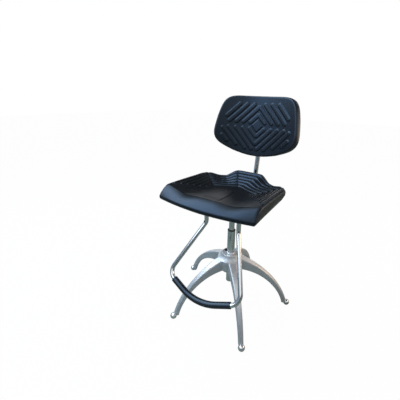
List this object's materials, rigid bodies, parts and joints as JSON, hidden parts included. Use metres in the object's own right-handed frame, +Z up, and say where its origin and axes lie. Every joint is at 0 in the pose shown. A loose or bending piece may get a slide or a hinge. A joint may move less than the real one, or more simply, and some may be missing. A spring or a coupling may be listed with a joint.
{
  "type": "high work chair",
  "caption": "High work chair with a dished ribbed seat, curved backrest on a bar, hung footrest loop, gas column and arched star base on ball feet.",
  "frame": {"origin": "the point of the floor under the axis of the column", "axes": "+Z up along the column, -Y towards the front of the seat, +X towards the sitter's left"},
  "size_m": [0.7029, 0.6984, 1.1322],
  "materials": {
    "cast_base": "satin cast aluminium, brighter on the rounded upper edges",
    "polished_steel": "polished steel balls",
    "chrome_plate": "bright chrome plating on tube",
    "steel_parts": "plain zinc-plated steel",
    "black_steel": "black powder coat",
    "black_plastic": "fine-grained black moulded plastic",
    "sleeve_rubber": "smooth black rubber with a soft sheen",
    "moulded_foam": "black skinned foam, fine grain and a soft sheen"
  },
  "bodies": {
    "base": {"star_base": "cast_base", "ball_foot_1": "polished_steel", "ball_foot_2": "polished_steel", "ball_foot_3": "polished_steel", "ball_foot_4": "polished_steel", "ball_foot_5": "polished_steel", "hub_clamp_screw": "black_steel", "column_tube": "chrome_plate", "tube_end_cap": "black_plastic", "tube_collar": "black_plastic", "thrust_bearing": "steel_parts"},
    "swivel_rod": {"spring_rod": "steel_parts", "rod_clip": "steel_parts", "spring_piston": "black_plastic"},
    "seat_unit": {"gas_cylinder": "chrome_plate", "cylinder_gland": "black_plastic", "seat_housing": "black_steel", "lever_bracket": "black_steel", "lever_pivot": "steel_parts", "seat_plate": "black_steel", "plate_bolts": "steel_parts", "footrest_tube": "chrome_plate", "tube_hole_plugs": "black_plastic", "footrest_sleeve": "sleeve_rubber", "footrest_clamps": "black_steel", "clamp_screws": "steel_parts", "bar_guide_block": "black_plastic", "seat_cushion": "moulded_foam"},
    "lever": {"lift_lever": "black_steel", "lever_grip": "black_plastic"},
    "valve": {"valve_pin": "steel_parts"},
    "bar": {"back_bar": "chrome_plate", "bar_top_cap": "black_plastic", "bar_front_cap": "black_plastic"},
    "depth_clamp": {"depth_knob": "black_plastic"},
    "carrier": {"back_carrier": "black_plastic"},
    "height_clamp": {"height_knob": "black_plastic"},
    "backrest": {"backrest_cushion": "moulded_foam", "backrest_bracket": "black_steel", "tilt_pin": "steel_parts", "bracket_screws": "steel_parts"}
  },
  "joints": [
    {"name": "seat_swivel", "type": "hinge", "parent": "base", "child": "swivel_rod", "pos_m": [0, 0, 0.15], "axis": [0, 0, 1], "continuous": true},
    {"name": "seat_height", "type": "slide", "parent": "swivel_rod", "child": "seat_unit", "axis": [0, 0, 1], "range_m": [-0.08, 0.12]},
    {"name": "lever_lift", "type": "hinge", "parent": "seat_unit", "child": "lever", "pos_m": [-0.036, 0, 0.6575], "axis": [0, 1, 0], "range_deg": [0, 4], "stiffness_Nm_per_rad": 6, "springref_deg": -5.73},
    {"name": "valve_press", "type": "slide", "parent": "seat_unit", "child": "valve", "axis": [0, 0, -1], "range_m": [0, 0.003]},
    {"name": "back_depth", "type": "slide", "parent": "seat_unit", "child": "bar", "axis": [0, 1, 0], "range_m": [-0.02, 0.035]},
    {"name": "depth_knob_turn", "type": "hinge", "parent": "seat_unit", "child": "depth_clamp", "pos_m": [0, 0.09, 0.64], "axis": [0, 0, 1], "range_deg": [-180, 180]},
    {"name": "back_height", "type": "slide", "parent": "bar", "child": "carrier", "axis": [0, 0.1305, 0.9914], "range_m": [-0.06, 0.02]},
    {"name": "height_knob_turn", "type": "hinge", "parent": "carrier", "child": "height_clamp", "pos_m": [0, 0.29462, 0.96], "axis": [0, 0.9914, -0.1305], "range_deg": [-180, 180]},
    {"name": "back_tilt", "type": "hinge", "parent": "carrier", "child": "backrest", "pos_m": [0, 0.27479, 0.96261], "axis": [1, 0, 0], "range_deg": [-5, 8]}
  ],
  "couplings": [
    {"joint": "valve_press", "follows": "lever_lift", "m_per_rad": 0.04}
  ]
}
